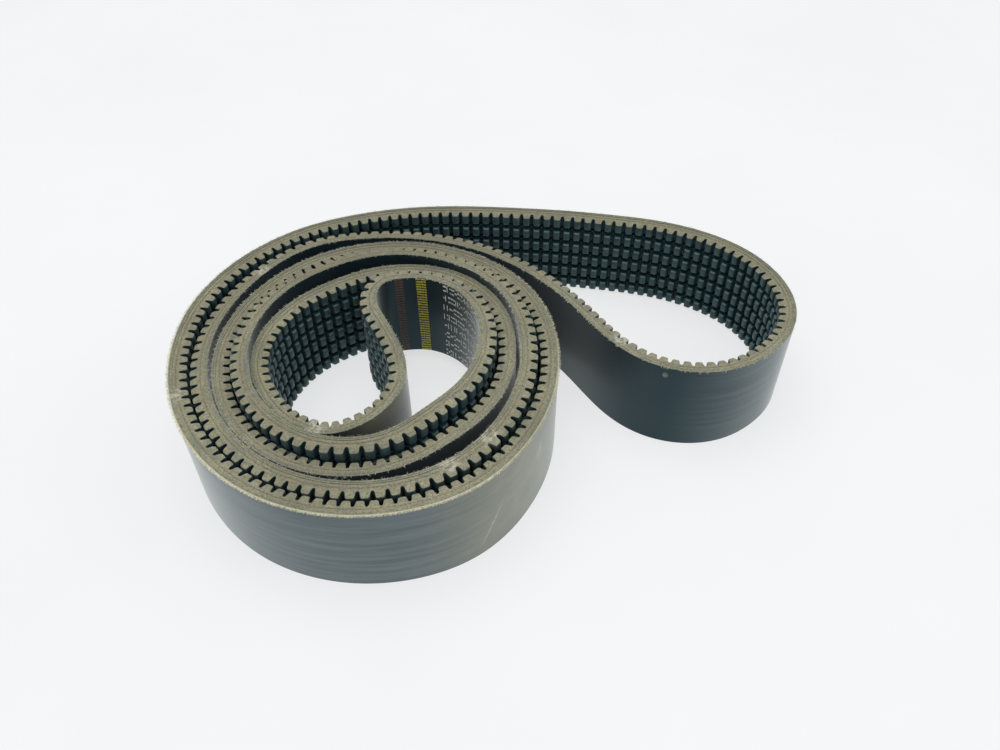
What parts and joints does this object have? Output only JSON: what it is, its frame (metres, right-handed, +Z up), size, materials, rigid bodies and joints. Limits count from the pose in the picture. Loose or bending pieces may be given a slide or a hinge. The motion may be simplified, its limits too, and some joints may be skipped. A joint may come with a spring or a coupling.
{
  "type": "joined cogged V-belt",
  "caption": "Wide banded V-belt: raw-edge cogged ribs under one flat tie band, an endless loop coiled on its edge.",
  "frame": {"origin": "middle of the footprint of the coiled belt, on the surface it stands on", "axes": "+Z up, along the width of the belt, across its ribs; +X along the longest extent, towards the large open loop; +Y away from the viewer"},
  "size_m": [0.3774, 0.2664, 0.0689],
  "materials": {
    "back_rubber": "satin black-blue rubber, faint fabric grain",
    "band_ply": "matte cut rubberised fabric",
    "cushion_gum": "matte dusty cut rubber",
    "tensile_cord": "rubber with brown polyester cords",
    "rib_rubber": "matte charcoal rubber, dusty brown on cut flanks"
  },
  "bodies": {
    "root": {"tie_band_cover": "back_rubber", "tie_band_ply": "band_ply", "top_gum_1": "cushion_gum", "top_gum_2": "cushion_gum", "top_gum_3": "cushion_gum", "top_gum_4": "cushion_gum", "top_gum_5": "cushion_gum", "top_gum_6": "cushion_gum", "cord_layer_1": "tensile_cord", "cord_layer_2": "tensile_cord", "cord_layer_3": "tensile_cord", "cord_layer_4": "tensile_cord", "cord_layer_5": "tensile_cord", "cord_layer_6": "tensile_cord", "cogged_rib_1": "rib_rubber", "cogged_rib_2": "rib_rubber", "cogged_rib_3": "rib_rubber", "cogged_rib_4": "rib_rubber", "cogged_rib_5": "rib_rubber", "cogged_rib_6": "rib_rubber"}
  },
  "joints": []
}
